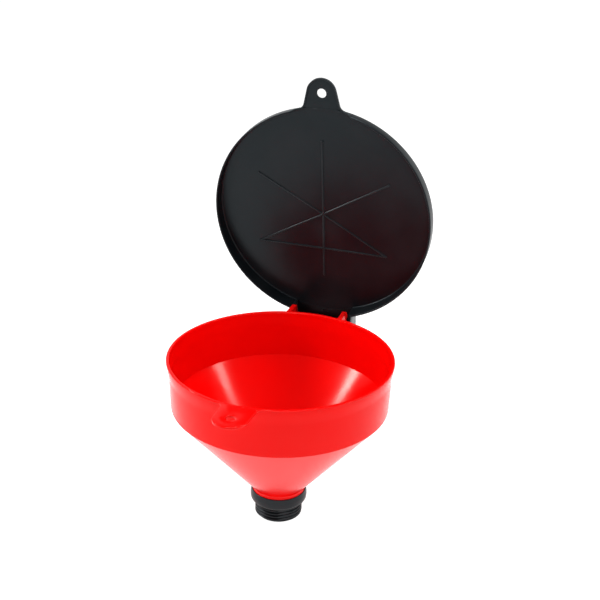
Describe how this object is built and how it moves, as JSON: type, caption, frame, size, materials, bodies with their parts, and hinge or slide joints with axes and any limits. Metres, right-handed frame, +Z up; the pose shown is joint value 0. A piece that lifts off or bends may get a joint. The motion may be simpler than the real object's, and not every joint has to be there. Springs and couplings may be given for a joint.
{
  "type": "drum funnel",
  "caption": "Round screw-in drum funnel with a flared bowl, a steep cone, a threaded drum adapter and a hinged cover with padlock tabs",
  "frame": {"origin": "on the bowl's axis, in the plane of the drum gasket's underside, where the funnel sits on a drum", "axes": "+Z points up out of the bowl, +Y points to the hinge, -Y to the padlock lug, +X to the right seen from the lug"},
  "size_m": [0.2704, 0.3504, 0.4961],
  "materials": {
    "body_plastic": "smooth satin moulded polyethylene, red",
    "lid_plastic": "black moulded polyethylene with a soft sheen",
    "adapter_plastic": "black moulded polyethylene",
    "rod_steel": "drawn steel rod and pressed ring",
    "seal_rubber": "soft black rubber"
  },
  "bodies": {
    "funnel": {"funnel_body": "body_plastic", "hinge_rod": "rod_steel", "rod_retainer": "rod_steel", "drum_adapter": "adapter_plastic", "neck_seal": "seal_rubber", "drum_gasket": "seal_rubber"},
    "lid": {"lid": "lid_plastic"}
  },
  "joints": [
    {"name": "lid_hinge", "type": "hinge", "parent": "funnel", "child": "lid", "pos_m": [0, 0.147, 0.158], "axis": [1, 0, 0], "range_deg": [0, 81]}
  ]
}
